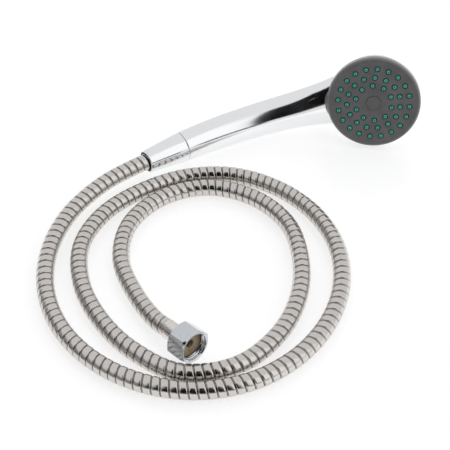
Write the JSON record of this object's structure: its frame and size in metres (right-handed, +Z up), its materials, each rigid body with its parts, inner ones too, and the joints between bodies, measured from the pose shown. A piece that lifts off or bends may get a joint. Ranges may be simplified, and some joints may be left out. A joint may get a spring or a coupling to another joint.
{
  "type": "hand shower with metal hose",
  "caption": "Single-spray hand shower with a curved chromed handle, a round face of rubber nozzles and a metal hose laid in loops.",
  "frame": {"origin": "on the surface the set lies on, below the middle of the handset", "axes": "+Z up, +X from the hose end of the handset towards its head, +Y away from the hose"},
  "size_m": [0.3138, 0.3186, 0.0799],
  "materials": {
    "chrome_plating": "bright plated, mirror gloss",
    "spring_steel": "stainless strip, semi-bright",
    "turned_brass": "turned, uncoated",
    "grey_plastic": "moulded, satin",
    "inner_plastic": "moulded, natural",
    "black_plastic": "moulded, satin",
    "green_rubber": "moulded, matte",
    "green_plastic": "moulded, satin",
    "seal_rubber": "moulded, matte",
    "washer_rubber": "moulded, matte",
    "lining_rubber": "extruded, smooth"
  },
  "bodies": {
    "handset": {"body_shell": "chrome_plating", "face_plate": "grey_plastic", "nozzle_mat": "green_rubber", "distributor_plate": "inner_plastic", "centre_cap": "grey_plastic", "face_screw": "spring_steel", "face_oring": "seal_rubber", "water_chamber": "inner_plastic", "waterway_tube": "inner_plastic", "head_tube_seal": "seal_rubber", "inlet_spigot": "inner_plastic", "inlet_tube_seal": "seal_rubber", "flow_restrictor": "green_plastic"},
    "hose_line": {"hose_outer": "spring_steel", "hose_lining": "lining_rubber", "cone_stem": "turned_brass", "cone_sleeve": "spring_steel", "cone_washer": "seal_rubber", "hex_sleeve": "spring_steel", "hex_stem": "turned_brass", "hex_washer": "washer_rubber"},
    "coupling_nut": {"cone_nut": "chrome_plating", "cone_mouth_ring": "black_plastic"},
    "wall_nut": {"hex_nut": "chrome_plating"}
  },
  "joints": [
    {"name": "hose_draw", "type": "slide", "parent": "handset", "child": "hose_line", "axis": [-0.8256, -0.564, 0.0151], "range_m": [0, 0.00908]},
    {"name": "cone_nut_turn", "type": "hinge", "parent": "hose_line", "child": "coupling_nut", "pos_m": [-0.08527, -0.01596, 0.01392], "axis": [-0.8256, -0.564, 0.0151], "range_deg": [0, 1800]},
    {"name": "wall_nut_turn", "type": "hinge", "parent": "hose_line", "child": "wall_nut", "pos_m": [-0.0902, -0.2144, 0.0107], "axis": [0.6885, -0.7114, 0.141], "continuous": true}
  ],
  "couplings": [
    {"joint": "hose_draw", "follows": "cone_nut_turn", "m_per_rad": 0.00028871}
  ]
}
